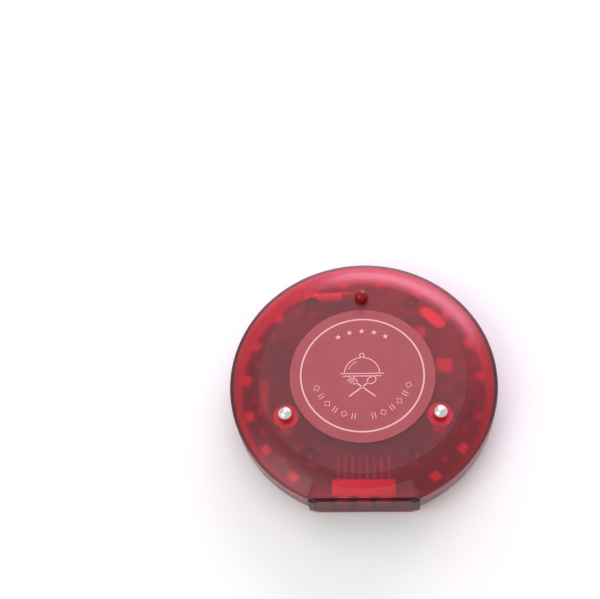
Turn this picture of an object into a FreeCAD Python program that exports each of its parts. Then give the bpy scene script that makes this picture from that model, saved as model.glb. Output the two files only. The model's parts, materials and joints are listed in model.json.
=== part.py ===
import FreeCAD, Part
import Sketcher
import math
import os
import re

# Round guest pager for a restaurant: a translucent red disc, 98 mm across, that
# stands flat on its base.  The three-digit display looks out of a block on the
# front edge, two nickel charging studs and a red indicator stand on the face, and
# sockets in the base take the studs of the pager below it in a stack.
#
# Frame, in millimetres: the origin is the middle of the base, +Z points up
# through the face, and the display looks along -Y.

SIZES = {
    # disc
    "rim_radius": 49.0,
    "face_height": 18.7,
    "face_radius": 37.5,
    "dome_radius": 22.7,
    "band_top": 13.9,
    "parting_height": 6.4,
    "band_bottom": 5.0,
    "base_radius": 36.0,
    "belly_radius": 36.5,
    "shell_wall": 1.6,
    "dome_slope": 38.0,
    "belly_slope": 32.0,
    "rim_rounding": 1.2,
    "lip_height": 1.6,
    "lip_width": 1.0,
    "lip_root": 5.6,
    "lip_bite": 0.4,
    "slip_gap": 0.1,
    # display block on the front edge
    "block_half_width": 19.3,
    "block_top": 17.5,
    "block_bottom": 2.5,
    "block_front": 45.8,
    "block_back": 36.0,
    "block_corner": 2.4,
    "bay_half_width": 16.9,
    "bay_top": 15.9,
    "bay_bottom": 3.9,
    "window_edge": 0.4,
    "window_bevel": 0.7,
    "window_front_half": 17.4,
    "window_front_top": 16.8,
    "window_front_bottom": 5.2,
    "window_front_corner": 2.0,
    "window_skin": 0.7,
    "window_pocket_gap": 0.3,
    "window_tab_width": 1.1,
    "window_tab_depth": 1.4,
    "window_tab_drop": 2.4,
    # studs, sockets and their places
    "stud_circle": 31.6,
    "stud_height": 3.8,
    "head_radius": 2.4,
    "head_side": 1.4,
    "neck_height": 1.1,
    "neck_radius": 1.6,
    "neck_gap": 0.08,
    "collar_radius": 2.25,
    "plunger_foot": 12.6,
    "barrel_radius": 3.0,
    "barrel_bore": 2.35,
    "flange_radius": 4.5,
    "flange_height": 0.8,
    "flange_recess": 0.6,
    "spring_radius": 1.95,
    "spring_wire": 0.2,
    "spring_pitch": 1.3,
    "socket_radius": 3.6,
    "socket_bore": 3.0,
    "socket_depth": 2.3,
    "socket_height": 3.0,
    "socket_flange": 4.9,
    "socket_flange_height": 0.5,
    "socket_stem": 1.1,
    "solder_height": 0.5,
    "lamp_radius": 2.45,
    "lamp_flange": 2.9,
    "lamp_flange_height": 1.0,
    "lamp_length": 8.6,
    "lead_width": 0.5,
    "lead_pitch": 2.54,
    # board and screws
    "board_radius": 45.0,
    "board_bottom": 5.6,
    "board_thickness": 1.6,
    "board_notch": 37.2,
    "board_notch_half": 19.0,
    "post_circle": 35.4,
    "post_radius": 3.0,
    "pilot_radius": 1.12,
    "boss_radius": 3.9,
    "screw_radius": 1.1,
    "screw_length": 11.0,
    "screw_head_radius": 2.2,
    "screw_head_height": 1.5,
    "counterbore_radius": 2.6,
    "counterbore_depth": 2.6,
    "screw_hole_radius": 1.4,
    "screw_end_gap": 0.5,
    "cross_length": 2.4,
    "cross_width": 0.5,
    "cross_depth": 0.7,
    # label and rating plate
    "label_radius": 26.4,
    "label_thickness": 0.25,
    "label_recess": 0.2,
    "plate_length": 34.0,
    "plate_width": 16.0,
    "plate_thickness": 0.2,
    "plate_recess": 0.25,
    "plate_forward": 11.0,
    # display
    "display_width": 21.8,
    "display_depth": 6.0,
    "display_front": 44.5,
    "display_bottom": 4.5,
    "display_tall": 10.6,
    "display_pin_width": 0.5,
    "display_pin_upper": 12.4,
    "display_pin_lower": 8.4,
    "display_pin_far": 29.6,
    "display_pin_near": 34.6,
    # perimeter lights
    "led_ring": 43.2,
    "led_across": 2.8,
    "led_along": 3.5,
    "led_tall": 1.7,
    # vibration motor
    "motor_x": -18.5,
    "motor_y": 36.2,
    "motor_z": 10.2,
    "motor_radius": 2.2,
    "motor_length": 11.0,
    "motor_cap_radius": 1.7,
    "motor_cap_length": 0.6,
    "motor_shaft_radius": 0.4,
    "motor_shaft_gap": 0.05,
    "motor_shaft_length": 11.2,
    "motor_shaft_in": 6.6,
    "weight_radius": 2.6,
    "weight_length": 4.0,
    "weight_hub": 1.2,
    "weight_stand_off": 0.5,
    "clip_length": 7.0,
    "clip_wall": 0.8,
    "clip_slack": 0.02,
    # battery
    "cell_length": 34.0,
    "cell_width": 24.0,
    "cell_tall": 5.5,
    "cell_x": -19.0,
    "cell_rounding": 1.4,
    "pad_tall": 0.8,
    "pad_margin": 3.0,
    "plug_x": 30.0,
    "plug_y": 6.0,
    "plug_side": 5.6,
    "plug_tall": 5.0,
    "plug_wire_height": 3.4,
    "plug_wire_apart": 2.4,
    "cell_wire_y": 1.4,
    "wire_radius": 0.55,
    "wire_reach": 4.0,
    # legs of the flat packages
    "chip_lift": 0.15,
    "leg_width": 0.42,
    "leg_reach": 0.9,
    "leg_tall": 0.3,
    "leg_pitch": 1.27,
    # radio module
    "radio_x": 35.0,
    "radio_y": -5.5,
    "radio_width": 15.5,
    "radio_length": 13.8,
    "radio_thickness": 1.0,
    "header_x": 29.5,
    "header_width": 2.5,
    "header_length": 10.2,
    "header_tall": 2.4,
    # antenna coil
    "antenna_x": -36.0,
    "antenna_y": -12.5,
    "antenna_length": 13.0,
    "antenna_radius": 2.2,
    "antenna_wire": 0.35,
    "antenna_pitch": 1.45,
    # crystal, buzzer, capacitor and resistors
    "crystal_circle": 38.0,
    "crystal_width": 4.4,
    "crystal_straight": 6.6,
    "crystal_tall": 3.4,
    "buzzer_circle": 35.0,
    "buzzer_radius": 6.0,
    "buzzer_tall": 5.0,
    "buzzer_port_radius": 1.1,
    "buzzer_port_depth": 2.0,
    "capacitor_x": 21.5,
    "capacitor_y": 19.5,
    "capacitor_radius": 2.5,
    "capacitor_tall": 5.4,
    "resistor_circle": 40.6,
    "resistor_across": 1.2,
    "resistor_along": 2.0,
    "resistor_tall": 0.6,
    "row_x": -24.0,
    "row_y": -24.6,
    "row_pitch": 2.6,
    # power switch under the board
    "switch_y": -22.0,
    "switch_half_length": 4.3,
    "switch_half_width": 1.8,
    "switch_tall": 3.4,
    "switch_wall": 0.6,
    "switch_room_tall": 1.2,
    "foot_length": 2.8,
    "foot_side_gap": 0.1,
    "foot_tall": 1.0,
    "knob_half_width": 0.8,
    "knob_length": 1.6,
    "knob_low": 0.5,
    "knob_travel": 2.0,
    "knob_slot_gap": 0.4,
}

LEFT = 210.0
RIGHT = 330.0
LAMP = 90.0
CRYSTAL = 45.0
BUZZER = 160.0
POSTS = (58.0, 122.0, 238.0, 302.0)

doc = FreeCAD.newDocument("guest_pager")
sheet = doc.addObject("Spreadsheet::Sheet", "Sizes")
for row, (size_name, size) in enumerate(SIZES.items(), start=1):
    sheet.set("A%d" % row, size_name)
    sheet.set("B%d" % row, str(size))
    sheet.setAlias("B%d" % row, size_name)
doc.recompute()

nodes = []


def bound(text):
    """Write the sheet's name in front of every size that an expression uses."""
    return re.sub(r"[a-z_]+", lambda m: "Sizes." + m[0] if m[0] in SIZES else m[0], str(text))


def value(text):
    """The number that an expression has now."""
    return float(sheet.evalExpression(bound(text)))


def bind(thing, **fields):
    """Bind properties of a thing to expressions in the sheet's sizes."""
    for field, text in fields.items():
        thing.setExpression(field, bound(text))


def at(thing, x="0", y="0", z="0"):
    """Place a thing at a point given by expressions."""
    for letter, text in zip("xyz", (x, y, z)):
        thing.setExpression("Placement.Base." + letter, bound(text))
    return thing


def polar(circle, angle):
    """The x and y expressions of a point on a circle round the middle."""
    return "%s * cos(%g deg)" % (circle, angle), "%s * sin(%g deg)" % (circle, angle)


def node(thing, name):
    """Name a finished sub-part and keep it for export."""
    thing.Label = name
    nodes.append(thing)
    return thing


# ---- Part primitives -------------------------------------------------------

def block(name, length, width, height, x, y, z):
    box = doc.addObject("Part::Box", name)
    bind(box, Length=length, Width=width, Height=height)
    return at(box, x, y, z)


def middle_block(name, length, width, height, x, y, z):
    """A box given by the middle of its bottom face."""
    return block(name, length, width, height,
                 "%s - (%s) / 2" % (x, length), "%s - (%s) / 2" % (y, width), z)


def ring_block(name, across, along, height, circle, angle, z):
    """A box on a circle, with one side along the radius."""
    cosine = "cos(%g deg)" % angle
    sine = "sin(%g deg)" % angle
    box = block(name, across, along, height,
                "(%s - %s / 2) * %s + %s / 2 * %s" % (circle, across, cosine, along, sine),
                "(%s - %s / 2) * %s - %s / 2 * %s" % (circle, across, sine, along, cosine), z)
    box.Placement.Rotation = FreeCAD.Rotation(FreeCAD.Vector(0, 0, 1), angle)
    return box


def rod(name, radius, height, x, y, z, along="z"):
    cylinder = doc.addObject("Part::Cylinder", name)
    bind(cylinder, Radius=radius, Height=height)
    if along == "x":
        cylinder.Placement.Rotation = FreeCAD.Rotation(FreeCAD.Vector(0, 1, 0), 90)
    return at(cylinder, x, y, z)


def joined(name, things):
    fuse = doc.addObject("Part::MultiFuse", name)
    fuse.Shapes = things
    return fuse


def grouped(name, things):
    group = doc.addObject("Part::Compound", name)
    group.Links = things
    return group


def less(name, base, *tools):
    for tool in tools:
        cut = doc.addObject("Part::Cut", name)
        cut.Base = base
        cut.Tool = tool
        base = cut
    return base


# ---- PartDesign bodies -----------------------------------------------------

def new_body(name):
    return doc.addObject("PartDesign::Body", name)


def sketch_on(body, role, name, offset=None):
    plane = next(f for f in body.Origin.OriginFeatures if f.Role == role)
    sketch = body.newObject("Sketcher::SketchObject", name)
    sketch.AttachmentSupport = [(plane, "")]
    sketch.MapMode = "FlatFace"
    if offset is not None:
        sketch.setExpression("AttachmentOffset.Base.z", bound(offset))
    return sketch


def fix_point(sketch, edge, end, x, y):
    """Hold one point of a sketch at x and y, each an expression."""
    for kind, axis, text in (("DistanceX", -2, x), ("DistanceY", -1, y)):
        distance = value(text)
        if abs(distance) < 1e-9:
            sketch.addConstraint(Sketcher.Constraint("PointOnObject", edge, end, axis))
            continue
        index = sketch.addConstraint(Sketcher.Constraint(kind, -1, 1, edge, end, distance))
        sketch.setExpression("Constraints[%d]" % index, bound(text))


def arc_between(start, finish, radius):
    """The short arc from start to finish that bulges to the right of the way there."""
    chord = finish - start
    rise = radius - math.sqrt(radius ** 2 - (chord.Length / 2) ** 2)
    outwards = FreeCAD.Vector(chord.y, -chord.x, 0).normalize()
    return Part.Arc(start, (start + finish) / 2 + outwards * rise, finish)


def outline(sketch, corners):
    """A closed outline, counter-clockwise through its corners.

    Each corner is (x, y) when a straight side follows it, or (x, y, radius) when an
    arc that bulges outwards does.
    """
    points = [FreeCAD.Vector(value(c[0]), value(c[1]), 0) for c in corners]
    count = len(corners)
    first = sketch.GeometryCount
    reversed_arcs = []
    for i, corner in enumerate(corners):
        start, finish = points[i], points[(i + 1) % count]
        if len(corner) == 2:
            sketch.addGeometry(Part.LineSegment(start, finish))
            reversed_arcs.append(False)
            continue
        arc = arc_between(start, finish, value(corner[2]))
        geometry = sketch.addGeometry(arc)
        reversed_arcs.append(sketch.getPoint(geometry, 1).distanceToPoint(start) > 1e-6)
        index = sketch.addConstraint(Sketcher.Constraint("Radius", geometry, value(corner[2])))
        sketch.setExpression("Constraints[%d]" % index, bound(corner[2]))
    for i, corner in enumerate(corners):
        here, before = first + i, first + (i - 1) % count
        start = 2 if reversed_arcs[i] else 1
        end = 1 if reversed_arcs[(i - 1) % count] else 2
        sketch.addConstraint(Sketcher.Constraint("Coincident", before, end, here, start))
        fix_point(sketch, here, start, corner[0], corner[1])


def circles(sketch, places, radius):
    for x, y in places:
        centre = FreeCAD.Vector(value(x), value(y), 0)
        ring = sketch.addGeometry(
            Part.Circle(centre, FreeCAD.Vector(0, 0, 1), value(radius)))
        index = sketch.addConstraint(Sketcher.Constraint("Radius", ring, value(radius)))
        sketch.setExpression("Constraints[%d]" % index, bound(radius))
        fix_point(sketch, ring, 3, x, y)


def spin(body, kind, name, corners):
    """Revolve an (r, z) outline about the vertical axis, adding or cutting."""
    sketch = sketch_on(body, "XZ_Plane", name + "_outline")
    outline(sketch, corners)
    feature = body.newObject("PartDesign::" + kind, name)
    feature.Profile = sketch
    feature.ReferenceAxis = (sketch, ["V_Axis"])
    feature.Angle = 360
    return feature


def stretch(body, kind, name, sketch, length, reverse=False):
    """Pad or pocket a sketch by a length."""
    feature = body.newObject("PartDesign::" + kind, name)
    feature.Profile = sketch
    feature.Reversed = reverse
    bind(feature, Length=length)
    return feature


def round_edges(body, feature, name, radius, wanted):
    """Fillet the edges of a feature that a test picks."""
    doc.recompute()
    picked = ["Edge%d" % i for i, edge in enumerate(feature.Shape.Edges, start=1) if wanted(edge)]
    fillet = body.newObject("PartDesign::Fillet", name)
    fillet.Base = (feature, picked)
    bind(fillet, Radius=radius)
    return fillet


def turned(name, corners, x="0", y="0", z="0"):
    """A round piece: its (r, z) outline spun about its own axis, then placed."""
    body = new_body(name)
    spin(body, "Revolution", name + "_turning", corners)
    return node(at(body, x, y, z), name)


# ---- Shells ----------------------------------------------------------------

def post_places():
    return [polar("post_circle", angle) for angle in POSTS]


def block_outline(sketch, low, high, corner_at_top):
    """Half of the display block seen from the front, with its two outer corners cut off."""
    wide, corner = "block_half_width", "block_corner"
    inner = wide + " - " + corner
    if corner_at_top:
        shoulder = high + " - " + corner
        outline(sketch, [("-" + wide, low), (wide, low), (wide, shoulder), (inner, high),
                         ("-(%s)" % inner, high), ("-" + wide, shoulder)])
    else:
        shoulder = low + " + " + corner
        outline(sketch, [("-" + wide, high), ("-" + wide, shoulder), ("-(%s)" % inner, low),
                         (inner, low), (wide, shoulder), (wide, high)])


def octagon(sketch, wide, low, high, corner):
    """A rectangle with all four corners cut off."""
    inner = "%s - %s" % (wide, corner)
    below, above = "%s + %s" % (low, corner), "%s - %s" % (high, corner)
    outline(sketch, [(inner, low), (wide, below), (wide, above), (inner, high),
                     ("-(%s)" % inner, high), ("-" + wide, above), ("-" + wide, below),
                     ("-(%s)" % inner, low)])


def rectangle(sketch, left, right, low, high):
    outline(sketch, [(left, low), (right, low), (right, high), (left, high)])


def front_pocket(body, name, half_width, low, high, depth_from):
    """Cut a box-shaped space from in front of the disc back to a distance."""
    sketch = sketch_on(body, "XZ_Plane", name + "_outline", depth_from)
    rectangle(sketch, "-(%s)" % half_width, half_width, low, high)
    return stretch(body, "Pocket", name, sketch, "rim_radius + 1 - (%s)" % depth_from, True)


def rim_corner(height, slope, way):
    """The two ends of the rounding between the vertical band and the slope beyond it.

    way is "+" where the slope leads up to the face, "-" where it leads down to the base.
    """
    setback = "rim_rounding * tan((90 - %s) * 0.5 deg)" % slope
    back = "-" if way == "+" else "+"
    on_band = ("rim_radius", "%s %s %s" % (height, back, setback))
    on_slope = ("rim_radius - %s * cos(%s * 1 deg)" % (setback, slope),
                "%s %s %s * sin(%s * 1 deg)" % (height, way, setback, slope))
    return on_band, on_slope


def make_top_shell():
    body = new_body("top_shell")
    on_band, on_slope = rim_corner("band_top", "dome_slope", "+")
    spin(body, "Revolution", "top_disc", [
        ("0", "parting_height"), ("rim_radius", "parting_height"),
        on_band + ("rim_rounding",), on_slope + ("dome_radius",),
        ("face_radius", "face_height"), ("0", "face_height")])
    sketch = sketch_on(body, "XZ_Plane", "top_block_outline", "block_back")
    block_outline(sketch, "parting_height", "block_top", True)
    stretch(body, "Pad", "top_block", sketch, "block_front - block_back")
    front_pocket(body, "top_front", "block_half_width + slip_gap", "0", "face_height",
                 "block_front")
    spin(body, "Groove", "top_hollow", [
        ("0", "parting_height - 1"), ("rim_radius - shell_wall", "parting_height - 1"),
        ("rim_radius - shell_wall", "band_top - shell_wall / 2", "dome_radius - shell_wall"),
        ("face_radius", "face_height - shell_wall"), ("0", "face_height - shell_wall")])
    front_pocket(body, "top_bay", "bay_half_width", "parting_height - 1", "bay_top", "block_back")

    post_end = "(board_bottom + board_thickness + slip_gap / 2)"
    posts = sketch_on(body, "XY_Plane", "post_outline", post_end)
    circles(posts, post_places(), "post_radius")
    stretch(body, "Pad", "posts", posts, "face_height - shell_wall / 2 - " + post_end)
    pilots = sketch_on(body, "XY_Plane", "pilot_outline", "board_bottom + board_thickness")
    circles(pilots, post_places(), "pilot_radius")
    stretch(body, "Pocket", "pilots", pilots, "screw_length - counterbore_depth", True)

    studs = [polar("stud_circle", LEFT), polar("stud_circle", RIGHT)]
    necks = sketch_on(body, "XY_Plane", "neck_outline", "face_height")
    circles(necks, studs, "neck_radius + neck_gap")
    stretch(body, "Pocket", "neck_holes", necks, "2 * shell_wall")
    seats = sketch_on(body, "XY_Plane", "flange_seat_outline", "face_height - 2 * shell_wall")
    circles(seats, studs, "flange_radius + slip_gap")
    stretch(body, "Pocket", "flange_seats", seats, "shell_wall + flange_recess", True)
    lamp = sketch_on(body, "XY_Plane", "lamp_outline", "face_height")
    circles(lamp, [polar("stud_circle", LAMP)], "lamp_radius + slip_gap / 2")
    stretch(body, "Pocket", "lamp_hole", lamp, "2 * shell_wall")
    recess = sketch_on(body, "XY_Plane", "recess_outline", "face_height")
    circles(recess, [("0", "0")], "label_radius + slip_gap")
    stretch(body, "Pocket", "label_seat", recess, "label_recess")
    return node(body, "top_shell")


def make_bottom_shell():
    body = new_body("bottom_shell")
    on_band, on_slope = rim_corner("band_bottom", "belly_slope", "-")
    spin(body, "Revolution", "bottom_disc", [
        ("0", "0"), ("base_radius", "0", "belly_radius"), on_slope + ("rim_rounding",),
        on_band, ("rim_radius", "parting_height"), ("0", "parting_height")])
    sketch = sketch_on(body, "XZ_Plane", "bottom_block_outline", "block_back")
    block_outline(sketch, "block_bottom", "parting_height", False)
    stretch(body, "Pad", "bottom_block", sketch, "block_front - block_back")
    spin(body, "Groove", "bottom_hollow", [
        ("0", "shell_wall"), ("base_radius", "shell_wall", "belly_radius - shell_wall"),
        ("rim_radius - shell_wall", "band_bottom + shell_wall / 2"),
        ("rim_radius - shell_wall", "parting_height + 1"), ("0", "parting_height + 1")])
    wall_inside = "rim_radius - shell_wall"
    in_the_wall = wall_inside + " + lip_bite"
    lip_outside = wall_inside + " - slip_gap"
    lip_inside = lip_outside + " - lip_width"
    lip_top = "parting_height + lip_height"
    spin(body, "Revolution", "lip", [
        (lip_inside, "lip_root"), (in_the_wall, "lip_root"), (in_the_wall, "parting_height"),
        (lip_outside, "parting_height"), (lip_outside, lip_top), (lip_inside, lip_top)])
    front_pocket(body, "bottom_front", "block_half_width + slip_gap", "0", "face_height",
                 "block_front")
    front_pocket(body, "bottom_bay", "bay_half_width", "bay_bottom", "face_height", "block_back")

    bosses = sketch_on(body, "XY_Plane", "boss_outline", "shell_wall / 2")
    circles(bosses, post_places(), "boss_radius")
    stretch(body, "Pad", "bosses", bosses, "board_bottom - slip_gap / 2 - shell_wall / 2")
    cups = sketch_on(body, "XY_Plane", "cup_outline", "shell_wall / 2")
    circles(cups, [polar("stud_circle", angle) for angle in (LEFT, RIGHT, LAMP)],
            "socket_flange")
    stretch(body, "Pad", "socket_bosses", cups, "socket_height - shell_wall / 2")

    bores = sketch_on(body, "XY_Plane", "counterbore_outline")
    circles(bores, post_places(), "counterbore_radius")
    stretch(body, "Pocket", "counterbores", bores, "counterbore_depth", True)
    holes = sketch_on(body, "XY_Plane", "screw_hole_outline")
    circles(holes, post_places(), "screw_hole_radius")
    stretch(body, "Pocket", "screw_holes", holes, "board_bottom + 1", True)
    sockets = sketch_on(body, "XY_Plane", "socket_hole_outline")
    circles(sockets, [polar("stud_circle", LEFT), polar("stud_circle", RIGHT)],
            "socket_radius + slip_gap / 2")
    stretch(body, "Pocket", "socket_holes", sockets, "socket_height + 1", True)
    dimple = sketch_on(body, "XY_Plane", "dimple_outline")
    circles(dimple, [polar("stud_circle", LAMP)], "socket_bore")
    stretch(body, "Pocket", "lamp_socket", dimple, "socket_depth", True)
    slot = sketch_on(body, "XY_Plane", "switch_slot_outline")
    reach = "(knob_length + knob_travel) / 2 + knob_slot_gap"
    rectangle(slot, "-(%s)" % reach, reach, "switch_y - knob_half_width - knob_slot_gap",
              "switch_y + knob_half_width + knob_slot_gap")
    stretch(body, "Pocket", "switch_slot", slot, "2 * shell_wall", True)
    seat = sketch_on(body, "XY_Plane", "plate_seat_outline")
    rectangle(seat, "-(plate_length / 2 + slip_gap)", "plate_length / 2 + slip_gap",
              "plate_forward - plate_width / 2 - slip_gap",
              "plate_forward + plate_width / 2 + slip_gap")
    stretch(body, "Pocket", "plate_seat", seat, "plate_recess", True)
    return node(body, "bottom_shell")


def make_window():
    """The smoked lens over the display: bevelled outside, with a pocket and two tabs inside."""
    body = new_body("display_window")
    back = sketch_on(body, "XZ_Plane", "window_back_outline", "block_front")
    octagon(back, "block_half_width", "block_bottom", "block_top", "block_corner")
    stretch(body, "Pad", "window_edge", back, "window_edge")
    bevel_start = sketch_on(body, "XZ_Plane", "bevel_start_outline", "block_front + window_edge")
    octagon(bevel_start, "block_half_width", "block_bottom", "block_top", "block_corner")
    front = sketch_on(body, "XZ_Plane", "window_front_outline",
                      "block_front + window_edge + window_bevel")
    octagon(front, "window_front_half", "window_front_bottom", "window_front_top",
            "window_front_corner")
    bevel = body.newObject("PartDesign::AdditiveLoft", "window_bevel")
    bevel.Profile = bevel_start
    bevel.Sections = [front]
    bevel.Ruled = True

    pocket = sketch_on(body, "XZ_Plane", "window_pocket_outline", "block_front")
    half = "display_width / 2 + window_pocket_gap"
    rectangle(pocket, "-(%s)" % half, half, "display_bottom - window_pocket_gap",
              "display_bottom + display_tall + window_pocket_gap")
    stretch(body, "Pocket", "window_pocket", pocket,
            "window_edge + window_bevel - window_skin", True)
    tabs = sketch_on(body, "XZ_Plane", "window_tab_outline", "block_front - window_tab_depth")
    outer = "bay_half_width - slip_gap"
    tab_low, tab_high = "bay_bottom + window_tab_drop", "bay_top - window_tab_drop"
    rectangle(tabs, "-(%s)" % outer, "-(%s - window_tab_width)" % outer, tab_low, tab_high)
    rectangle(tabs, outer + " - window_tab_width", outer, tab_low, tab_high)
    stretch(body, "Pad", "window_tabs", tabs, "window_tab_depth + window_edge / 2")
    return node(body, "display_window")


def make_labels():
    node(rod("face_label", "label_radius", "label_thickness", "0", "0",
             "face_height - label_recess"), "face_label")
    node(middle_block("rating_plate", "plate_length", "plate_width", "plate_thickness",
                      "0", "plate_forward", "plate_recess - plate_thickness"), "rating_plate")


# ---- Board and display -----------------------------------------------------

BOARD_TOP = "(board_bottom + board_thickness)"


def make_board():
    body = new_body("main_board")
    edge = sketch_on(body, "XY_Plane", "board_outline", "board_bottom")
    circles(edge, [("0", "0")], "board_radius")
    stretch(body, "Pad", "board", edge, "board_thickness")
    notch = sketch_on(body, "XY_Plane", "notch_outline", "board_bottom")
    rectangle(notch, "-board_notch_half", "board_notch_half", "-(board_radius + 1)",
              "-board_notch")
    stretch(body, "Pocket", "notch", notch, "board_thickness", True)
    holes = sketch_on(body, "XY_Plane", "board_screw_outline", "board_bottom")
    circles(holes, post_places(), "screw_hole_radius")
    stretch(body, "Pocket", "board_screw_holes", holes, "board_thickness", True)
    stems = sketch_on(body, "XY_Plane", "board_stem_outline", "board_bottom")
    circles(stems, [polar("stud_circle", LEFT), polar("stud_circle", RIGHT)],
            "socket_stem + slip_gap / 2")
    stretch(body, "Pocket", "board_stem_holes", stems, "board_thickness", True)
    return node(body, "main_board")


DISPLAY_PINS = 8


def make_display():
    """The flat-faced display module, and two rows of pins that bend down to the board."""
    node(middle_block("display_module", "display_width", "display_depth", "display_tall",
                      "0", "display_depth / 2 - display_front", "display_bottom"),
         "display_module")
    back = "(display_depth - display_front)"
    pins = []
    for row, (height, reach) in enumerate((("display_pin_upper", "display_pin_far"),
                                           ("display_pin_lower", "display_pin_near"))):
        for i in range(DISPLAY_PINS):
            x = "%g * lead_pitch" % (i - (DISPLAY_PINS - 1) / 2)
            run = block("pin_run", "display_pin_width", "-(%s) - %s" % (reach, back),
                        "display_pin_width", x + " - display_pin_width / 2", back, height)
            drop = block("pin_drop", "display_pin_width", "display_pin_width",
                         "%s + display_pin_width - %s" % (height, BOARD_TOP),
                         x + " - display_pin_width / 2", "-" + reach, BOARD_TOP)
            pins.append(joined("display_pin", [run, drop]))
    node(grouped("display_pins", pins), "display_pins")


LIGHTS = 16
FIRST_LIGHT = 305.5
LIGHT_STEP = 289.0 / (LIGHTS - 1)


def make_lights():
    lights = [ring_block("flash_led", "led_across", "led_along", "led_tall", "led_ring",
                         FIRST_LIGHT + i * LIGHT_STEP, BOARD_TOP) for i in range(LIGHTS)]
    node(grouped("flash_leds", lights), "flash_leds")


# ---- Studs, sockets and the indicator --------------------------------------

def make_contact(side, angle):
    x, y = polar("stud_circle", angle)
    flange_top = "face_height - shell_wall + flange_recess - slip_gap / 2"
    flange_low = flange_top + " - flange_height"
    head_low = "face_height + neck_height"
    crown = "(stud_height - neck_height - head_side)"
    dome = "(head_radius * head_radius + %s * %s) / (2 * %s)" % (crown, crown, crown)
    collar_top = flange_low + " - neck_gap"
    turned("contact_pin_" + side, [
        ("0", "plunger_foot"), ("collar_radius", "plunger_foot"),
        ("collar_radius", collar_top), ("neck_radius", collar_top),
        ("neck_radius", head_low), ("head_radius", head_low),
        ("head_radius", head_low + " + head_side", dome),
        ("0", "face_height + stud_height")], x, y)
    turned("contact_barrel_" + side, [
        ("barrel_bore", BOARD_TOP), ("barrel_radius", BOARD_TOP),
        ("barrel_radius", flange_low), ("flange_radius", flange_low),
        ("flange_radius", flange_top), ("neck_radius + neck_gap", flange_top),
        ("neck_radius + neck_gap", flange_low), ("barrel_bore", flange_low)], x, y)
    cup_top = "socket_height + socket_flange_height"
    stem_top = BOARD_TOP + " + solder_height"
    turned("contact_socket_" + side, [
        ("0", "socket_depth"), ("socket_bore", "socket_depth"), ("socket_bore", "slip_gap"),
        ("socket_radius", "slip_gap"), ("socket_radius", "socket_height"),
        ("socket_flange", "socket_height"), ("socket_flange", cup_top),
        ("socket_stem", cup_top), ("socket_stem", stem_top), ("0", stem_top)], x, y)

    spring = new_body("contact_spring_" + side)
    wire = sketch_on(spring, "XZ_Plane", "wire_outline")
    circles(wire, [("spring_radius", BOARD_TOP + " + spring_wire")], "spring_wire")
    coil = spring.newObject("PartDesign::AdditiveHelix", "coil")
    coil.Profile = wire
    coil.ReferenceAxis = (wire, ["V_Axis"])
    coil.Mode = 0
    bind(coil, Pitch="spring_pitch", Height="plunger_foot - %s - 2 * spring_wire" % BOARD_TOP)
    node(at(spring, x, y), "contact_spring_" + side)


def make_indicator():
    x, y = polar("stud_circle", LAMP)
    top = "face_height + stud_height"
    foot = top + " - lamp_length"
    step = foot + " + lamp_flange_height"
    turned("indicator_led", [
        ("0", foot), ("lamp_flange", foot), ("lamp_flange", step), ("lamp_radius", step),
        ("lamp_radius", top + " - lamp_radius", "lamp_radius"), ("0", top)], x, y)
    leads = [middle_block("indicator_lead", "lead_width", "lead_width", foot + " - " + BOARD_TOP,
                          "%s + %g * lead_pitch" % (x, side), y, BOARD_TOP)
             for side in (-0.5, 0.5)]
    node(grouped("indicator_leads", leads), "indicator_leads")


# ---- Vibration motor -------------------------------------------------------

def make_motor():
    front = "(motor_x + motor_length)"
    can = rod("motor_body", "motor_radius", "motor_length", "motor_x", "motor_y", "motor_z", "x")
    bearing = rod("motor_bearing_bore", "motor_shaft_radius + motor_shaft_gap",
                  "motor_shaft_in + 2 * slip_gap", front + " - motor_shaft_in - slip_gap",
                  "motor_y", "motor_z", "x")
    node(less("motor_can", can, bearing), "motor_can")
    node(rod("motor_end_cap", "motor_cap_radius", "motor_cap_length",
             "motor_x - motor_cap_length", "motor_y", "motor_z", "x"), "motor_end_cap")
    node(rod("motor_shaft", "motor_shaft_radius", "motor_shaft_length",
             front + " - motor_shaft_in", "motor_y", "motor_z", "x"), "motor_shaft")

    start = front + " + weight_stand_off"
    half = rod("weight_half", "weight_radius", "weight_length", start, "motor_y", "motor_z", "x")
    bind(half, Angle="180")
    hub = rod("weight_hub", "weight_hub", "weight_length", start, "motor_y", "motor_z", "x")
    bore = rod("weight_bore", "motor_shaft_radius", "weight_length + 2", start + " - 1",
               "motor_y", "motor_z", "x")
    node(less("motor_weight", joined("weight_solid", [half, hub]), bore), "motor_weight")

    saddle = middle_block("saddle", "clip_length", "2 * (motor_radius + clip_wall)",
                          "motor_z + motor_radius / 2 - " + BOARD_TOP,
                          "motor_x + motor_length / 2", "motor_y", BOARD_TOP)
    cradle = rod("cradle", "motor_radius + clip_slack", "motor_length", "motor_x", "motor_y",
                 "motor_z", "x")
    node(less("motor_clip", saddle, cradle), "motor_clip")


BEND_SHARE = 0.45


def run_of_wire(points, radius):
    """A wire along straight runs, with a tangent arc at each bend."""
    points = [FreeCAD.Vector(*point) for point in points]
    edges = []
    start = points[0]
    for before, bend, after in zip(points, points[1:], points[2:]):
        towards, onward = before - bend, after - bend
        half_turn = (math.pi - towards.getAngle(onward)) / 2
        setback = BEND_SHARE * min(towards.Length, onward.Length)
        towards.normalize()
        onward.normalize()
        bisector = (towards + onward).normalize()
        curve = setback / math.tan(half_turn)
        middle = bend + bisector * (curve / math.cos(half_turn) - curve)
        edges.append(Part.LineSegment(start, bend + towards * setback).toShape())
        edges.append(Part.Arc(bend + towards * setback, middle, bend + onward * setback).toShape())
        start = bend + onward * setback
    edges.append(Part.LineSegment(start, points[-1]).toShape())
    path = Part.Wire(edges)
    circle = Part.Circle(points[0], points[1] - points[0], radius)
    return path.makePipeShell([Part.Wire(circle.toShape())], True, True)


# ---- Battery ---------------------------------------------------------------

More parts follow.
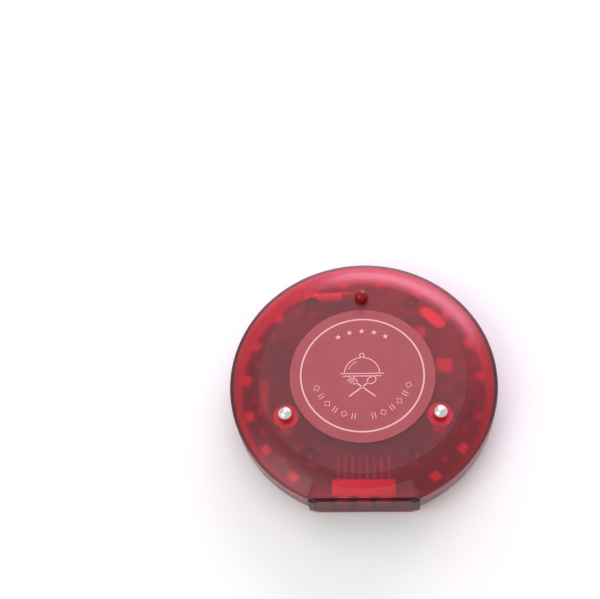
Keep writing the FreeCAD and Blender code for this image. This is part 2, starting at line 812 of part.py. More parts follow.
def make_battery():
    cell = new_body("battery_cell")
    sketch = sketch_on(cell, "XY_Plane", "cell_outline", BOARD_TOP + " + pad_tall")
    rectangle(sketch, "cell_x", "cell_x + cell_length", "-cell_width / 2", "cell_width / 2")
    slab = stretch(cell, "Pad", "cell_slab", sketch, "cell_tall")

    def along_the_cell(edge):
        ends = [vertex.Point for vertex in edge.Vertexes]
        return abs(ends[0].x - ends[1].x) > value("cell_length") / 2
    round_edges(cell, slab, "cell_rounding", "cell_rounding", along_the_cell)
    node(cell, "battery_cell")
    node(middle_block("battery_pad", "cell_length - 2 * pad_margin",
                      "cell_width - 2 * pad_margin", "pad_tall",
                      "cell_x + cell_length / 2", "0", BOARD_TOP), "battery_pad")
    node(middle_block("battery_plug", "plug_side", "plug_side", "plug_tall", "plug_x", "plug_y",
                      BOARD_TOP), "battery_plug")
    for colour, side in (("red", 1), ("black", -1)):
        make_battery_wire(colour, side)


def make_battery_wire(colour, side):
    """One lead, from the cell's end to the plug."""
    cell_end = value("cell_x + cell_length")
    plug_face = value("plug_x - plug_side / 2")
    reach = value("wire_reach")
    apart = side * value("plug_wire_apart / 2")
    at_cell = value("cell_wire_y") + apart
    at_plug = value("plug_y") + apart
    cell_level = value(BOARD_TOP + " + pad_tall + cell_tall / 2")
    plug_level = value(BOARD_TOP + " + plug_wire_height")
    route = [(cell_end, at_cell, cell_level), (cell_end + reach, at_cell, cell_level),
             (plug_face - reach, at_plug, plug_level), (plug_face, at_plug, plug_level)]
    wire = doc.addObject("Part::Feature", "battery_wire_" + colour)
    wire.Shape = run_of_wire(route, value("wire_radius"))
    node(wire, "battery_wire_" + colour)


# ---- Parts soldered to the board -------------------------------------------

CHIPS = {
    "microcontroller": {"length": 12.8, "width": 7.5, "tall": 2.3, "legs": 10, "x": 0.0, "y": -20.0},
    "charger_chip": {"length": 4.9, "width": 3.9, "tall": 1.5, "legs": 4, "x": 14.0, "y": -20.0},
}


def make_chip(name, length, width, tall, legs, x, y):
    """A flat package with legs along its two long sides."""
    pieces = [middle_block("package", length, width, tall, x, y, BOARD_TOP + " + chip_lift")]
    for side in ("+", "-"):
        leg_y = "%g %s (%g + leg_reach) / 2" % (y, side, width)
        for i in range(legs):
            leg_x = "%g + %g * leg_pitch" % (x, i - (legs - 1) / 2)
            pieces.append(middle_block("leg", "leg_width", "leg_reach", "leg_tall", leg_x, leg_y,
                                       BOARD_TOP))
    node(grouped(name, pieces), name)


RADIO_PARTS = (
    # from the middle of the radio board: x, y; then width, length and height
    (0.8, 2.4, 4.4, 4.4, 0.9),
    (4.2, -3.4, 3.2, 2.5, 0.8),
    (-3.6, -3.2, 2.4, 3.6, 1.0),
)


def make_radio():
    node(middle_block("radio_header", "header_width", "header_length", "header_tall", "header_x",
                      "radio_y", BOARD_TOP), "radio_header")
    board_low = BOARD_TOP + " + header_tall"
    node(middle_block("radio_board", "radio_width", "radio_length", "radio_thickness", "radio_x",
                      "radio_y", board_low), "radio_board")
    pieces = [middle_block("radio_part", width, length, tall, "radio_x + %g" % x,
                           "radio_y + %g" % y, board_low + " + radio_thickness")
              for x, y, width, length, tall in RADIO_PARTS]
    node(grouped("radio_parts", pieces), "radio_parts")


def make_antenna():
    """A springy coil of copper wire that lies along the board's left side."""
    radius, thickness = value("antenna_radius"), value("antenna_wire")
    helix = Part.makeHelix(value("antenna_pitch"), value("antenna_length"), radius)
    start = FreeCAD.Vector(radius, 0, 0)
    section = Part.Circle(start, FreeCAD.Vector(0, 1, 0), thickness)
    coil = doc.addObject("Part::Feature", "antenna_coil")
    coil.Shape = Part.Wire(helix.Edges).makePipeShell([Part.Wire(section.toShape())], True, True)
    lying = FreeCAD.Rotation(FreeCAD.Vector(1, 0, 0), -90)
    lift = value(BOARD_TOP + " + antenna_radius + antenna_wire + slip_gap")
    place = FreeCAD.Vector(value("antenna_x"), value("antenna_y"), lift)
    coil.Placement = FreeCAD.Placement(place, lying)
    node(coil, "antenna_coil")


def make_crystal():
    """A metal can with two round ends, its long side along the rim."""
    can = ring_block("crystal_middle", "crystal_width", "crystal_straight", "crystal_tall",
                     "crystal_circle", CRYSTAL, BOARD_TOP)
    x, y = polar("crystal_circle", CRYSTAL)
    ends = []
    for side in ("+", "-"):
        end_x = "%s %s crystal_straight / 2 * sin(%g deg)" % (x, side, CRYSTAL)
        end_y = "%s - (0 %s crystal_straight / 2 * cos(%g deg))" % (y, side, CRYSTAL)
        ends.append(rod("crystal_end", "crystal_width / 2", "crystal_tall", end_x, end_y,
                        BOARD_TOP))
    node(joined("crystal", [can] + ends), "crystal")


def make_buzzer():
    x, y = polar("buzzer_circle", BUZZER)
    can = rod("buzzer_can", "buzzer_radius", "buzzer_tall", x, y, BOARD_TOP)
    port = rod("buzzer_port", "buzzer_port_radius", "buzzer_port_depth + 1", x, y,
               BOARD_TOP + " + buzzer_tall - buzzer_port_depth")
    node(less("buzzer", can, port), "buzzer")


ROW_RESISTORS = 5
CROWDED = (5, 8)


def make_small_parts():
    """A resistor between each two lights where there is room, a row of them, a capacitor."""
    pieces = [ring_block("series_resistor", "resistor_across", "resistor_along", "resistor_tall",
                         "resistor_circle", FIRST_LIGHT + (i + 0.5) * LIGHT_STEP, BOARD_TOP)
              for i in range(LIGHTS - 1) if i not in CROWDED]
    pieces += [middle_block("row_resistor", "resistor_across", "resistor_along", "resistor_tall",
                            "row_x + %d * row_pitch" % i, "row_y", BOARD_TOP)
               for i in range(ROW_RESISTORS)]
    pieces.append(rod("capacitor", "capacitor_radius", "capacitor_tall", "capacitor_x",
                      "capacitor_y", BOARD_TOP))
    node(grouped("small_parts", pieces), "small_parts")


# ---- Power switch ----------------------------------------------------------

def make_switch():
    low = "board_bottom - switch_tall"
    shell = middle_block("switch_shell", "2 * switch_half_length", "2 * switch_half_width",
                         "switch_tall", "0", "switch_y", low)
    room = middle_block("switch_room", "foot_length + knob_travel + 2 * knob_slot_gap",
                        "2 * (switch_half_width - switch_wall)", "switch_room_tall + 1", "0",
                        "switch_y", low + " - 1")
    node(less("switch_body", shell, room), "switch_body")

    rest = "-knob_travel / 2"
    foot_low = low + " + slip_gap"
    foot = middle_block("knob_foot", "foot_length",
                        "2 * (switch_half_width - switch_wall - foot_side_gap)", "foot_tall",
                        rest, "switch_y", foot_low)
    finger = middle_block("knob_finger", "knob_length", "2 * knob_half_width",
                          "%s + foot_tall / 2 - knob_low" % foot_low, rest, "switch_y", "knob_low")
    node(joined("switch_knob", [foot, finger]), "switch_knob")


def make_screws():
    screws = []
    head_low = "counterbore_depth - screw_head_height"
    for x, y in post_places():
        head = rod("screw_head", "screw_head_radius", "screw_head_height", x, y, head_low)
        shank = rod("screw_shank", "screw_radius",
                    "screw_length - counterbore_depth - screw_end_gap", x, y, "counterbore_depth")
        cuts = [middle_block("screw_cross", length, width, "2 * cross_depth", x, y,
                             head_low + " - cross_depth")
                for length, width in (("cross_length", "cross_width"),
                                      ("cross_width", "cross_length"))]
        screws.append(less("shell_screw", joined("screw_solid", [head, shank]), *cuts))
    node(grouped("shell_screws", screws), "shell_screws")


def write_out():
    """Recompute, refuse anything that failed, and export each node."""
    doc.recompute()
    failed = [thing.Label for thing in doc.Objects if {"Invalid", "Error"} & set(thing.State)]
    failed += [thing.Label for thing in nodes
               if thing.Shape.isNull() or not thing.Shape.isValid()]
    if failed:
        raise RuntimeError("these objects failed: " + ", ".join(failed))
    os.makedirs("parts", exist_ok=True)
    for thing in nodes:
        thing.Shape.exportStep("parts/%s.step" % thing.Label)
        print("%-22s %8.1f mm3, %d solids" % (thing.Label, thing.Shape.Volume,
                                              len(thing.Shape.Solids)))


make_top_shell()
make_bottom_shell()
make_window()
make_labels()
make_board()
make_display()
make_lights()
for side, angle in (("left", LEFT), ("right", RIGHT)):
    make_contact(side, angle)
make_indicator()
make_motor()
make_battery()
for chip_name, chip_sizes in CHIPS.items():
    make_chip(chip_name, **chip_sizes)
make_radio()
make_antenna()
make_crystal()
make_buzzer()
make_small_parts()
make_switch()
make_screws()
write_out()
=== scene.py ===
import json
import math

import bmesh
import bpy
from mathutils import Matrix, Vector


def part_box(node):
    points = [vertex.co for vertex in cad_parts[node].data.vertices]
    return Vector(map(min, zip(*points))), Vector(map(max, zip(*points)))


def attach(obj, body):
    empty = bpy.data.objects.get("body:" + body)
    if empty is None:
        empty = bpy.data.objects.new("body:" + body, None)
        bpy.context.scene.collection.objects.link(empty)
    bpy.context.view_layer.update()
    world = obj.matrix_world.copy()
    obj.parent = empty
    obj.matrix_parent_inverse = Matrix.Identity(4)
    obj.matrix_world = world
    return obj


# A round translucent red guest pager, lying on its base with the display towards -Y.
# Lengths are in metres; MM turns millimetres into them.

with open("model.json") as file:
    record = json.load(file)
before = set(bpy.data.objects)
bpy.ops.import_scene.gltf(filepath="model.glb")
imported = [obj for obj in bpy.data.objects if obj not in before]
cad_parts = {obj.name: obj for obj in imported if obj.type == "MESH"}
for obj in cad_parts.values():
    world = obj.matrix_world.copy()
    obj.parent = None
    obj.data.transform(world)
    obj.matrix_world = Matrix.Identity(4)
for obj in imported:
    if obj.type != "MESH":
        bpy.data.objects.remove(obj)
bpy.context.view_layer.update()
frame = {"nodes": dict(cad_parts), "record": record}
nodes = frame["nodes"]
MM = 0.001

HOUSING = "housing"
LABEL_LOW, LABEL_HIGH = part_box("face_label")
FACE_Z = LABEL_HIGH.z
LABEL_R = (LABEL_HIGH.x - LABEL_LOW.x) / 2
BASE_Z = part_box("bottom_shell")[0].z


# ---- Node helpers ----------------------------------------------------------

class Shader:
    """A material that is one Principled shader, with helpers that add its detail."""

    def __init__(self, name, colour, rough=0.4, metal=0.0):
        self.material = bpy.data.materials.new(name)
        self.material.use_nodes = True
        self.tree = self.material.node_tree
        self.principled = self.tree.nodes["Principled BSDF"]
        self.principled.inputs["Base Color"].default_value = (*colour, 1)
        self.principled.inputs["Roughness"].default_value = rough
        self.principled.inputs["Metallic"].default_value = metal
        self.colour = colour
        self.where = self.tree.nodes.new("ShaderNodeTexCoord").outputs["Object"]
        self.height = None

    def set(self, **fixed):
        for name, value in fixed.items():
            self.principled.inputs[name.replace("_", " ")].default_value = value
        return self

    def node(self, kind, **fixed):
        made = self.tree.nodes.new(kind)
        for name, value in fixed.items():
            setattr(made, name, value)
        return made

    def link(self, output, socket):
        self.tree.links.new(output, socket)

    def noise(self, size, detail=3.0, stretch=(1, 1, 1), lumpy=0.5):
        """Noise whose lumps are about size metres across."""
        mapping = self.node("ShaderNodeMapping")
        mapping.inputs["Scale"].default_value = stretch
        self.link(self.where, mapping.inputs["Vector"])
        noise = self.node("ShaderNodeTexNoise")
        noise.inputs["Scale"].default_value = 1 / size
        noise.inputs["Detail"].default_value = detail
        noise.inputs["Roughness"].default_value = lumpy
        self.link(mapping.outputs["Vector"], noise.inputs["Vector"])
        return noise.outputs["Fac"]

    def remap(self, value, low, high, to_low=0.0, to_high=1.0):
        remap = self.node("ShaderNodeMapRange")
        remap.inputs["From Min"].default_value = low
        remap.inputs["From Max"].default_value = high
        remap.inputs["To Min"].default_value = to_low
        remap.inputs["To Max"].default_value = to_high
        self.link(value, remap.inputs["Value"])
        return remap.outputs["Result"]

    def mixed(self, factor, first, second):
        """A colour between two, each a tuple or an output."""
        mix = self.node("ShaderNodeMix", data_type="RGBA")
        self.link(factor, mix.inputs["Factor"])
        for socket, colour in ((mix.inputs[6], first), (mix.inputs[7], second)):
            if isinstance(colour, tuple):
                socket.default_value = (*colour, 1)
            else:
                self.link(colour, socket)
        return mix.outputs[2]

    def paint(self, colour):
        self.link(colour, self.principled.inputs["Base Color"])
        return self

    def tint(self, factor, other):
        """Blend the base colour towards another by a factor."""
        return self.paint(self.mixed(factor, self.colour, other))

    def vary_rough(self, value, low, high, to_low, to_high):
        self.link(self.remap(value, low, high, to_low, to_high),
                  self.principled.inputs["Roughness"])
        return self

    def bump(self, value, depth, strength=1.0):
        """Add relief, depth metres high; a second call adds to the first."""
        bump = self.node("ShaderNodeBump")
        bump.inputs["Distance"].default_value = depth
        bump.inputs["Strength"].default_value = strength
        self.link(value, bump.inputs["Height"])
        if self.height is not None:
            self.link(self.height, bump.inputs["Normal"])
        self.height = bump.outputs["Normal"]
        self.link(self.height, self.principled.inputs["Normal"])
        return self


# ---- Materials -------------------------------------------------------------

def red_shell():
    """Translucent red polycarbonate: clear enough to show the parts, with a satin outside."""
    shader = Shader("red_shell", (0.93, 0.045, 0.15), rough=0.34)
    shader.set(Transmission_Weight=0.95, IOR=1.2)
    shader.set(Coat_Weight=0.8, Coat_Roughness=0.32, Coat_IOR=1.5)
    cloud = shader.noise(16 * MM, detail=2)
    shader.tint(shader.remap(cloud, 0.35, 0.7), (0.87, 0.033, 0.12))
    wear = shader.noise(5 * MM, detail=4)
    shader.vary_rough(wear, 0.3, 0.7, 0.29, 0.4)
    shader.bump(shader.noise(2.5 * MM, detail=1), 0.004 * MM, 0.3)
    return shader.material


def smoked_window():
    """Darker, greyer lens with the same satin outside."""
    shader = Shader("smoked_window", (0.25, 0.018, 0.05), rough=0.2)
    shader.set(Transmission_Weight=0.85, IOR=1.2, Specular_IOR_Level=0.35)
    shader.set(Coat_Weight=0.1, Coat_Roughness=0.28, Coat_IOR=1.5)
    shader.vary_rough(shader.noise(6 * MM, detail=4), 0.3, 0.75, 0.16, 0.26)
    shader.bump(shader.noise(2.5 * MM, detail=1), 0.004 * MM, 0.3)
    return shader.material


def label_film():
    shader = Shader("label_film", (0.345, 0.055, 0.069), rough=0.5)
    blotch = shader.noise(9 * MM, detail=3)
    shader.tint(shader.remap(blotch, 0.3, 0.75), (0.375, 0.065, 0.078))
    shader.vary_rough(shader.noise(3 * MM, detail=5), 0.3, 0.7, 0.42, 0.6)
    shader.bump(shader.noise(0.16 * MM, detail=2), 0.008 * MM, 0.4)
    return shader.material


def label_ink():
    shader = Shader("label_ink", (0.80, 0.43, 0.45), rough=0.5)
    specks = shader.noise(0.35 * MM, detail=3)
    shader.tint(shader.remap(specks, 0.45, 0.75), (0.70, 0.33, 0.35))
    shader.bump(specks, 0.004 * MM, 0.4)
    return shader.material


def nickel():
    """Polished nickel with fine turning marks and rubbed spots."""
    shader = Shader("nickel", (0.80, 0.775, 0.74), rough=0.16, metal=1.0)
    rubbed = shader.noise(0.9 * MM, detail=5, lumpy=0.6)
    shader.vary_rough(rubbed, 0.35, 0.7, 0.10, 0.34)
    shader.tint(shader.remap(rubbed, 0.55, 0.8), (0.62, 0.59, 0.55))
    shader.bump(shader.noise(0.5 * MM, detail=3, stretch=(1, 1, 18)), 0.004 * MM, 0.35)
    return shader.material


def worn_metal(name, colour, rough, size=2 * MM):
    shader = Shader(name, colour, rough=rough, metal=1.0)
    patches = shader.noise(size, detail=5, lumpy=0.6)
    shader.vary_rough(patches, 0.3, 0.7, rough * 0.7, min(rough * 1.5, 1))
    darker = tuple(c * 0.75 for c in colour)
    shader.tint(shader.remap(patches, 0.5, 0.8), darker)
    shader.bump(shader.noise(size / 6, detail=3), 0.006 * MM, 0.4)
    return shader.material


def moulded(name, colour, rough, grain=0.3 * MM):
    """Opaque moulded plastic or rubber with a fine grain."""
    shader = Shader(name, colour, rough=rough)
    patches = shader.noise(grain * 20, detail=3)
    shader.vary_rough(patches, 0.3, 0.7, rough * 0.85, min(rough * 1.15, 1))
    shader.tint(shader.remap(patches, 0.4, 0.8), tuple(c * 0.86 for c in colour))
    shader.bump(shader.noise(grain, detail=2), 0.01 * MM, 0.4)
    return shader.material


def board_mask():
    """Dark green solder mask over copper tracks, with painted light: lighter and browner towards
    +X +Y, the side the strip light falls from.
    """
    shader = Shader("board_mask", (0.035, 0.06, 0.04), rough=0.4)
    across = shader.node("ShaderNodeVectorMath", operation="DOT_PRODUCT")
    across.inputs[1].default_value = (1, 1, 0)
    shader.link(shader.where, across.inputs[0])
    # Painted light: the mask colour ramps from dark green to a lighter brown towards +X +Y,
    # standing in for the light from that side.
    painted_light_ramp = shader.remap(across.outputs["Value"], -8 * MM, 50 * MM)
    mask_with_painted_light = shader.mixed(painted_light_ramp, shader.colour, (0.27, 0.08, 0.065))
    tracks = shader.node("ShaderNodeTexBrick", offset=0.37, squash=1.6)
    tracks.inputs["Scale"].default_value = 1 / (5 * MM)
    tracks.inputs["Mortar Size"].default_value = 0.05
    tracks.inputs["Mortar Smooth"].default_value = 0.1
    tracks.inputs["Color1"].default_value = (0, 0, 0, 1)
    tracks.inputs["Color2"].default_value = (0, 0, 0, 1)
    tracks.inputs["Mortar"].default_value = (1, 1, 1, 1)
    shader.link(shader.where, tracks.inputs["Vector"])
    track = shader.remap(tracks.outputs["Color"], 0, 1)
    shader.paint(shader.mixed(track, mask_with_painted_light, (0.10, 0.13, 0.07)))
    shader.bump(tracks.outputs["Color"], 0.03 * MM, 0.6)
    return shader.material


def red_lens():
    shader = Shader("red_lens", (0.40, 0.004, 0.008), rough=0.16)
    shader.set(Transmission_Weight=0.4, IOR=1.53, Specular_IOR_Level=0.2)
    shader.vary_rough(shader.noise(1.5 * MM, detail=3), 0.3, 0.7, 0.1, 0.22)
    shader.bump(shader.noise(0.8 * MM, detail=2), 0.004 * MM, 0.3)
    return shader.material


def led_package():
    """White package with the yellow-grey phosphor window of a small light."""
    shader = Shader("led_package", (0.84, 0.80, 0.70), rough=0.45)
    grain = shader.noise(0.6 * MM, detail=3)
    shader.tint(shader.remap(grain, 0.4, 0.8), (0.78, 0.70, 0.50))
    shader.bump(grain, 0.02 * MM, 0.5)
    return shader.material


def glowing(name, colour, strength):
    shader = Shader(name, (0.6, 0.02, 0.01), rough=0.35)
    shader.set(Emission_Color=(*colour, 1), Emission_Strength=strength)
    grain = shader.noise(0.7 * MM, detail=2)
    shader.tint(shader.remap(grain, 0.4, 0.8), (0.5, 0.015, 0.01))
    shader.bump(grain, 0.01 * MM, 0.3)
    return shader.material


def pouch_foil():
    shader = Shader("pouch_foil", (0.70, 0.71, 0.73), rough=0.34, metal=0.85)
    creases = shader.noise(4 * MM, detail=4, stretch=(1, 2.5, 1))
    shader.vary_rough(creases, 0.3, 0.7, 0.26, 0.46)
    shader.tint(shader.remap(creases, 0.5, 0.8), (0.60, 0.61, 0.64))
    shader.bump(creases, 0.12 * MM, 0.5)
    return shader.material


def dress_nodes():
    """Give every CAD node that stays its finished material, by the record's slots."""
    by_slot = {
        "red_shell": red_shell(),
        "smoked_window": smoked_window(),
        "label_paper": label_film(),
        "plain_label": moulded("plain_label", (0.78, 0.78, 0.75), 0.5, 0.2 * MM),
        "board_mask": board_mask(),
        "display_case": moulded("display_case", (0.95, 0.94, 0.92), 0.45),
        "led_package": led_package(),
        "red_lens": red_lens(),
        "nickel": nickel(),
        "spring_steel": worn_metal("spring_steel", (0.58, 0.58, 0.60), 0.3, 0.8 * MM),
        "steel": worn_metal("steel", (0.74, 0.74, 0.75), 0.42),
        "tungsten": worn_metal("tungsten", (0.42, 0.42, 0.43), 0.42, 1 * MM),
        "copper": worn_metal("copper", (0.72, 0.30, 0.13), 0.3, 1 * MM),
        "tin": worn_metal("tin", (0.50, 0.50, 0.49), 0.45, 1 * MM),
        "matt_tin": moulded("matt_tin", (0.90, 0.89, 0.86), 0.5),
        "black_plastic": moulded("black_plastic", (0.02, 0.02, 0.023), 0.45, 0.15 * MM),
        "white_plastic": moulded("white_plastic", (0.85, 0.85, 0.82), 0.4),
        "rubber_pad": moulded("rubber_pad", (0.03, 0.03, 0.03), 0.8),
        "cell_foil": pouch_foil(),
        "wire_red": moulded("wire_red", (0.55, 0.02, 0.02), 0.35),
        "wire_black": moulded("wire_black", (0.02, 0.02, 0.02), 0.35),
    }
    for part in frame["record"]["subparts"]:
        piece = nodes[part["node"]]
        piece.data.materials.clear()
        piece.data.materials.append(by_slot[part["material_slot"]])
    for side in ("left", "right"):
        nodes["contact_barrel_" + side].data.materials[0] = by_slot["matt_tin"]
    return by_slot


# ---- Mesh helpers ----------------------------------------------------------

def add_piece(name, mesh, material, body=HOUSING):
    piece = bpy.data.objects.new(name, mesh)
    bpy.context.scene.collection.objects.link(piece)
    mesh.materials.append(material)
    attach(piece, body)
    return piece


def prism(mesh, outline, thickness, place):
    """Add a flat closed outline of (x, y) points, thickened, then placed by a matrix."""
    low = [mesh.verts.new(place @ Vector((x, y, 0))) for x, y in outline]
    high = [mesh.verts.new(place @ Vector((x, y, thickness))) for x, y in outline]
    mesh.faces.new(high)
    mesh.faces.new(low[::-1])
    count = len(outline)
    for i in range(count):
        j = (i + 1) % count
        mesh.faces.new((low[i], low[j], high[j], high[i]))


def ribbon(mesh, line, width, thickness, place, closed=False):
    """Add a stroke of even width along (x, y) points."""
    points = [Vector(p) for p in line]
    count = len(points)
    sides = []
    for i, point in enumerate(points):
        before = points[(i - 1) % count] if closed or i > 0 else point
        after = points[(i + 1) % count] if closed or i < count - 1 else point
        along = (after - before).normalized()
        across = Vector((-along.y, along.x)) * width / 2
        sides.append((point + across, point - across))
    rows = []
    for left, right in sides:
        rows.append([mesh.verts.new(place @ Vector((*corner, level)))
                     for level in (0, thickness) for corner in (left, right)])
    last = count if closed else count - 1
    for i in range(last):
        a, b = rows[i], rows[(i + 1) % count]
        mesh.faces.new((a[2], a[3], b[3], b[2]))
        mesh.faces.new((a[0], b[0], b[1], a[1]))
        mesh.faces.new((a[0], a[2], b[2], b[0]))
        mesh.faces.new((a[1], b[1], b[3], a[3]))
    if not closed:
        mesh.faces.new((rows[0][0], rows[0][1], rows[0][3], rows[0][2]))
        mesh.faces.new((rows[-1][0], rows[-1][2], rows[-1][3], rows[-1][1]))


def arc(centre, radius, start, finish, steps):
    """Points along an arc, angles in degrees."""
    angles = [math.radians(start + (finish - start) * i / steps) for i in range(steps + 1)]
    return [(centre[0] + radius * math.cos(a), centre[1] + radius * math.sin(a)) for a in angles]


def dome(mesh, place, radius, height):
    """Add a low closed dome that stands on a point."""
    around, rings = 20, 4
    rows = []
    for ring in range(rings):
        lift = math.radians(90 * ring / rings)
        reach = radius * math.cos(lift)
        rows.append([mesh.verts.new(place + Vector((reach * math.cos(a), reach * math.sin(a),
                                                    height * math.sin(lift))))
                     for a in (math.tau * i / around for i in range(around))])
    mesh.faces.new(rows[0][::-1])
    mesh.faces.new(rows[-1])
    for low, high in zip(rows, rows[1:]):
        for i in range(around):
            j = (i + 1) % around
            mesh.faces.new((low[i], low[j], high[j], high[i]))


def islands(node):
    """The lowest and highest corner of each separate solid in a CAD node."""
    mesh = bmesh.new()
    mesh.from_mesh(nodes[node].data)
    bmesh.ops.remove_doubles(mesh, verts=mesh.verts, dist=0.001 * MM)
    unseen = set(mesh.verts)
    boxes = []
    for first in list(mesh.verts):
        if first not in unseen:
            continue
        unseen.discard(first)
        group, waiting = [], [first]
        while waiting:
            vertex = waiting.pop()
            group.append(vertex.co.copy())
            for edge in vertex.link_edges:
                other = edge.other_vert(vertex)
                if other in unseen:
                    unseen.discard(other)
                    waiting.append(other)
        boxes.append((Vector(map(min, zip(*group))), Vector(map(max, zip(*group)))))
    mesh.free()
    return boxes


def finished(mesh_data, name):
    bmesh.ops.recalc_face_normals(mesh_data, faces=mesh_data.faces)
    mesh = bpy.data.meshes.new(name)
    mesh_data.to_mesh(mesh)
    mesh_data.free()
    return mesh


# ---- Small detail on the CAD parts -----------------------------------------

def make_light_lenses():
    """The round phosphor lens on top of each light in the ring."""
    radius, height = 1.1 * MM, 0.35 * MM
    mesh = bmesh.new()
    for low, high in islands("flash_leds"):
        middle = (low + high) / 2
        dome(mesh, Vector((middle.x, middle.y, high.z)), radius, height)
    shader = Shader("phosphor", (0.90, 0.82, 0.42), rough=0.25)
    grain = shader.noise(0.4 * MM, detail=3)
    shader.tint(shader.remap(grain, 0.4, 0.8), (0.82, 0.70, 0.30))
    shader.bump(grain, 0.01 * MM, 0.4)
    add_piece("flash_led_lenses", finished(mesh, "flash_led_lenses"), shader.material)


def make_solder_joints(solder):
    """A bead of solder where each display pin meets the board."""
    radius, height = 0.8 * MM, 0.5 * MM
    half_pin = 0.25 * MM
    mesh = bmesh.new()
    for low, high in islands("display_pins"):
        foot = Vector(((low.x + high.x) / 2, high.y - half_pin, low.z))
        dome(mesh, foot, radius, height)
    add_piece("display_pin_solder", finished(mesh, "display_pin_solder"), solder)


# ---- Printing on the label -------------------------------------------------

INK = 0.03 * MM
LINE = 0.36 * MM
FINE_LINE = LINE * 0.8


def star_outline(radius):
    """A star with five points, one of them up."""
    notch = 0.42
    points = []
    for i in range(10):
        reach = radius if i % 2 == 0 else radius * notch
        angle = math.radians(90 + 36 * i)
        points.append((reach * math.cos(angle), reach * math.sin(angle)))
    return points


def print_label(ink):
    """A ring, five stars, a covered dish over a fork and spoon, and a row of lozenges."""
    mesh = bmesh.new()
    flat = Matrix.Translation((0, 0, FACE_Z))
    ring_radius = LABEL_R * 0.845
    ring_width = 0.6 * MM
    ribbon(mesh, arc((0, 0), ring_radius, 0, 360, 180)[:-1], ring_width, INK, flat, closed=True)
    star_circle = LABEL_R * 0.66
    star_radius = 1.15 * MM
    star_spacing = 15
    for i in range(-2, 3):
        angle = math.radians(90 - star_spacing * i)
        spot = Matrix.Translation((star_circle * math.cos(angle), star_circle * math.sin(angle),
                                   FACE_Z))
        prism(mesh, star_outline(star_radius), INK, spot)
    print_row(mesh)
    print_dish(mesh, flat)
    add_piece("label_print", finished(mesh, "label_print"), ink)


def print_row(mesh):
    """Two runs of small open lozenges and bars, along an arc under the picture."""
    circle = LABEL_R * 0.665
    lift = 0.9 * MM
    half = 1.15 * MM
    bar_offset = 0.55 * MM
    marks = 13
    first_angle, sweep = 201, 141
    for i in range(marks):
        if i == marks // 2:
            continue
        angle = math.radians(first_angle + sweep * i / (marks - 1))
        spot = Matrix.Translation((circle * math.cos(angle), lift + circle * math.sin(angle),
                                   FACE_Z))
        place = spot @ Matrix.Rotation(angle - math.radians(270), 4, "Z")
        if i % 2 == 0:
            ribbon(mesh, [(half, 0), (0, half), (-half, 0), (0, -half)], FINE_LINE, INK, place,
                   closed=True)
            continue
        for bar in (-bar_offset, bar_offset):
            ribbon(mesh, [(bar, -half), (bar, half)], FINE_LINE, INK, place)


def print_dish(mesh, flat):
    """Line drawing of a domed dish cover with a crossed fork and spoon under it."""
    centre = (0.0, 0.2 * MM)
    cover = 6.4 * MM
    knob_radius = 0.8 * MM
    ribbon(mesh, arc(centre, cover, 0, 180, 32), LINE, INK, flat)
    ribbon(mesh, arc(centre, cover * 0.8, 112, 160, 12), FINE_LINE, INK, flat)
    rim = cover + 1.5 * MM
    for drop, reach in ((0, rim), (1.0 * MM, rim - 0.9 * MM)):
        ribbon(mesh, [(-reach, centre[1] - drop), (reach, centre[1] - drop)], LINE, INK, flat)
    knob = (0.0, centre[1] + cover + 0.9 * MM)
    ribbon(mesh, arc(knob, knob_radius, 0, 360, 20)[:-1], LINE, INK, flat, closed=True)
    print_cutlery(mesh, centre[1] - 5.3 * MM)


def print_cutlery(mesh, level):
    """A fork and a spoon that cross at a level."""
    half = 6.0 * MM
    lean = 52
    bowl_wide, bowl_long = 1.25 * MM, 1.75 * MM
    for side in (-1, 1):
        place = (Matrix.Translation((0, level, FACE_Z))
                 @ Matrix.Rotation(math.radians(lean * side), 4, "Z"))
        ribbon(mesh, [(0, -half), (0, half * 0.45)], LINE * 1.4, INK, place)
        if side < 0:
            bowl = [(bowl_wide * math.cos(a), half * 0.72 + bowl_long * math.sin(a))
                    for a in (math.tau * i / 24 for i in range(24))]
            ribbon(mesh, bowl, LINE, INK, place, closed=True)
            continue
        ribbon(mesh, arc((0, half * 0.62), 1.1 * MM, 180, 360, 12), LINE, INK, place)
        for tine in (-1.1, -0.37, 0.37, 1.1):
            ribbon(mesh, [(tine * MM, half * 0.58), (tine * MM, half)], FINE_LINE, INK, place)


# ---- Display ---------------------------------------------------------------

DIGITS = "555"
DIGIT_TALL = 8.2 * MM
DIGIT_WIDE = 5.3 * MM
DIGIT_PITCH = 7.2 * MM
DIGIT_SLANT = math.tan(math.radians(6))
SEGMENT = 1.05 * MM
SEGMENT_HIGH = 0.1 * MM
LIT_STRENGTH = 1.7
SEGMENTS = {
    "top": ((0, 1), (1, 1)),
    "upper_left": ((0, 0.5), (0, 1)),
    "upper_right": ((1, 0.5), (1, 1)),
    "middle": ((0, 0.5), (1, 0.5)),
    "lower_left": ((0, 0), (0, 0.5)),
    "lower_right": ((1, 0), (1, 0.5)),
    "bottom": ((0, 0), (1, 0)),
}
LIT = {"5": {"top", "upper_left", "middle", "lower_right", "bottom"}}


def segment_outline(start, finish):
    """A bar with pointed ends between two corners of the digit."""
    a, b = Vector(start), Vector(finish)
    along = (b - a).normalized()
    across = Vector((-along.y, along.x)) * SEGMENT / 2
    gap = 0.12 * MM
    a, b = a + along * gap, b - along * gap
    point = along * SEGMENT / 2
    return [a, a + point - across, b - point - across, b, b - point + across, a + point + across]


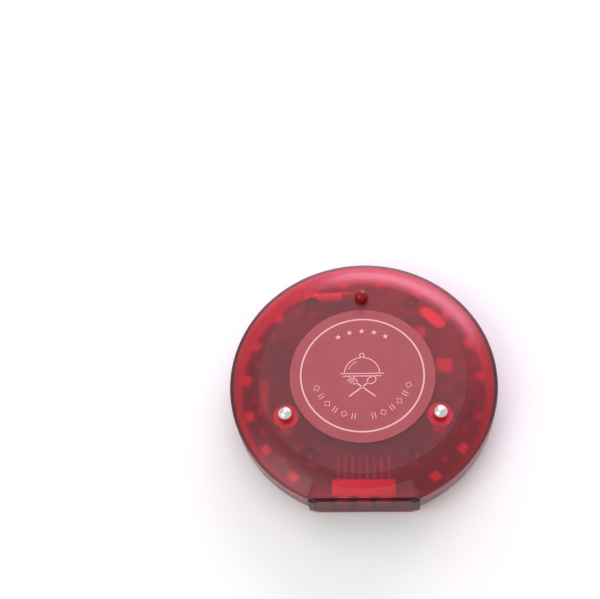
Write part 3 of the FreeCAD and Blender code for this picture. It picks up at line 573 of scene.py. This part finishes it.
def make_display(glow):
    """The dark face of the display, with its lit and unlit segments."""
    low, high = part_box("display_module")
    facing = Matrix.Rotation(math.radians(90), 4, "X")
    face = bmesh.new()
    inset = 0.25 * MM
    half = (high.x - low.x) / 2 - inset
    bottom, top = low.z + inset, high.z - inset
    plate = [(-half, bottom), (half, bottom), (half, top), (-half, top)]
    skin = 0.06 * MM
    prism(face, plate, skin, Matrix.Translation((0, low.y, 0)) @ facing)
    add_piece("display_face", finished(face, "display_face"),
              moulded("display_black", (0.03, 0.02, 0.02), 0.4, 0.2 * MM))
    lit, unlit = bmesh.new(), bmesh.new()
    middle = (low.z + high.z) / 2
    in_front = Matrix.Translation((0, low.y - skin, 0)) @ facing
    box_w, box_h = DIGIT_WIDE - SEGMENT, DIGIT_TALL - SEGMENT
    for i, digit in enumerate(DIGITS):
        offset = (i - (len(DIGITS) - 1) / 2) * DIGIT_PITCH
        for name, ends in SEGMENTS.items():
            corners = [((x - 0.5) * box_w, (y - 0.5) * box_h) for x, y in ends]
            outline = [(offset + p.x + p.y * DIGIT_SLANT, middle + p.y)
                       for p in segment_outline(*corners)]
            prism(lit if name in LIT[digit] else unlit, outline, SEGMENT_HIGH, in_front)
    add_piece("display_lit", finished(lit, "display_lit"), glow)
    add_piece("display_unlit", finished(unlit, "display_unlit"),
              moulded("segment_off", (0.16, 0.05, 0.05), 0.5, 0.2 * MM))


# ---- Stage, lights and camera ----------------------------------------------

def make_stage():
    """A white floor just under the base."""
    gap = 0.05 * MM
    bpy.ops.mesh.primitive_plane_add(size=3, location=(0, 0, BASE_Z - gap))
    floor = bpy.context.object
    floor.name = "floor"
    shader = Shader("floor_white", (0.93, 0.93, 0.93), rough=0.7)
    floor.data.materials.append(shader.material)


def soft_light(name, size, power, place, colour=(1, 1, 1)):
    """A rectangular light that faces the origin."""
    data = bpy.data.lights.new(name, "AREA")
    data.color = colour
    data.shape = "RECTANGLE"
    data.size, data.size_y = size
    data.energy = power
    light = bpy.data.objects.new(name, data)
    light.location = place
    light.rotation_euler = (-Vector(place)).to_track_quat("-Z", "Y").to_euler()
    bpy.context.scene.collection.objects.link(light)


def light_studio():
    """White surroundings, a big box overhead and a bright strip low behind the pager."""
    world = bpy.data.worlds.new("studio")
    world.use_nodes = True
    background = world.node_tree.nodes["Background"]
    background.inputs["Color"].default_value = (1, 1, 1, 1)
    background.inputs["Strength"].default_value = 0.7
    bpy.context.scene.world = world
    soft_light("key", (0.5, 0.5), 1.7, (-0.45, -0.35, 0.55))
    soft_light("overhead", (0.5, 0.5), 0.6, (-0.05, 0.29, 0.64))
    soft_light("strip", (0.6, 0.2), 2.8, (0.17, 0.57, 0.27), colour=(0.95, 0.74, 1.0))


def aim_camera():
    """Look down on the pager from its front, turned a little about the view."""
    place = Vector((7.1, -152.7, 346.9)) * MM
    aim = Vector((-24.0, 36.4, 10.0)) * MM
    roll = math.radians(-9.4)
    data = bpy.data.cameras.new("camera")
    data.sensor_width = 36
    data.lens = 59.7
    data.clip_start = 0.01
    camera = bpy.data.objects.new("camera", data)
    turn = (aim - place).to_track_quat("-Z", "Y").to_matrix().to_4x4()
    camera.matrix_world = Matrix.Translation(place) @ turn @ Matrix.Rotation(roll, 4, "Z")
    bpy.context.scene.collection.objects.link(camera)
    bpy.context.scene.camera = camera
    bpy.context.scene.view_settings.view_transform = "Standard"


materials = dress_nodes()
make_light_lenses()
make_solder_joints(materials["tin"])
print_label(label_ink())
make_display(glowing("segment_lit", (1.0, 0.03, 0.015), LIT_STRENGTH))
make_stage()
light_studio()
aim_camera()
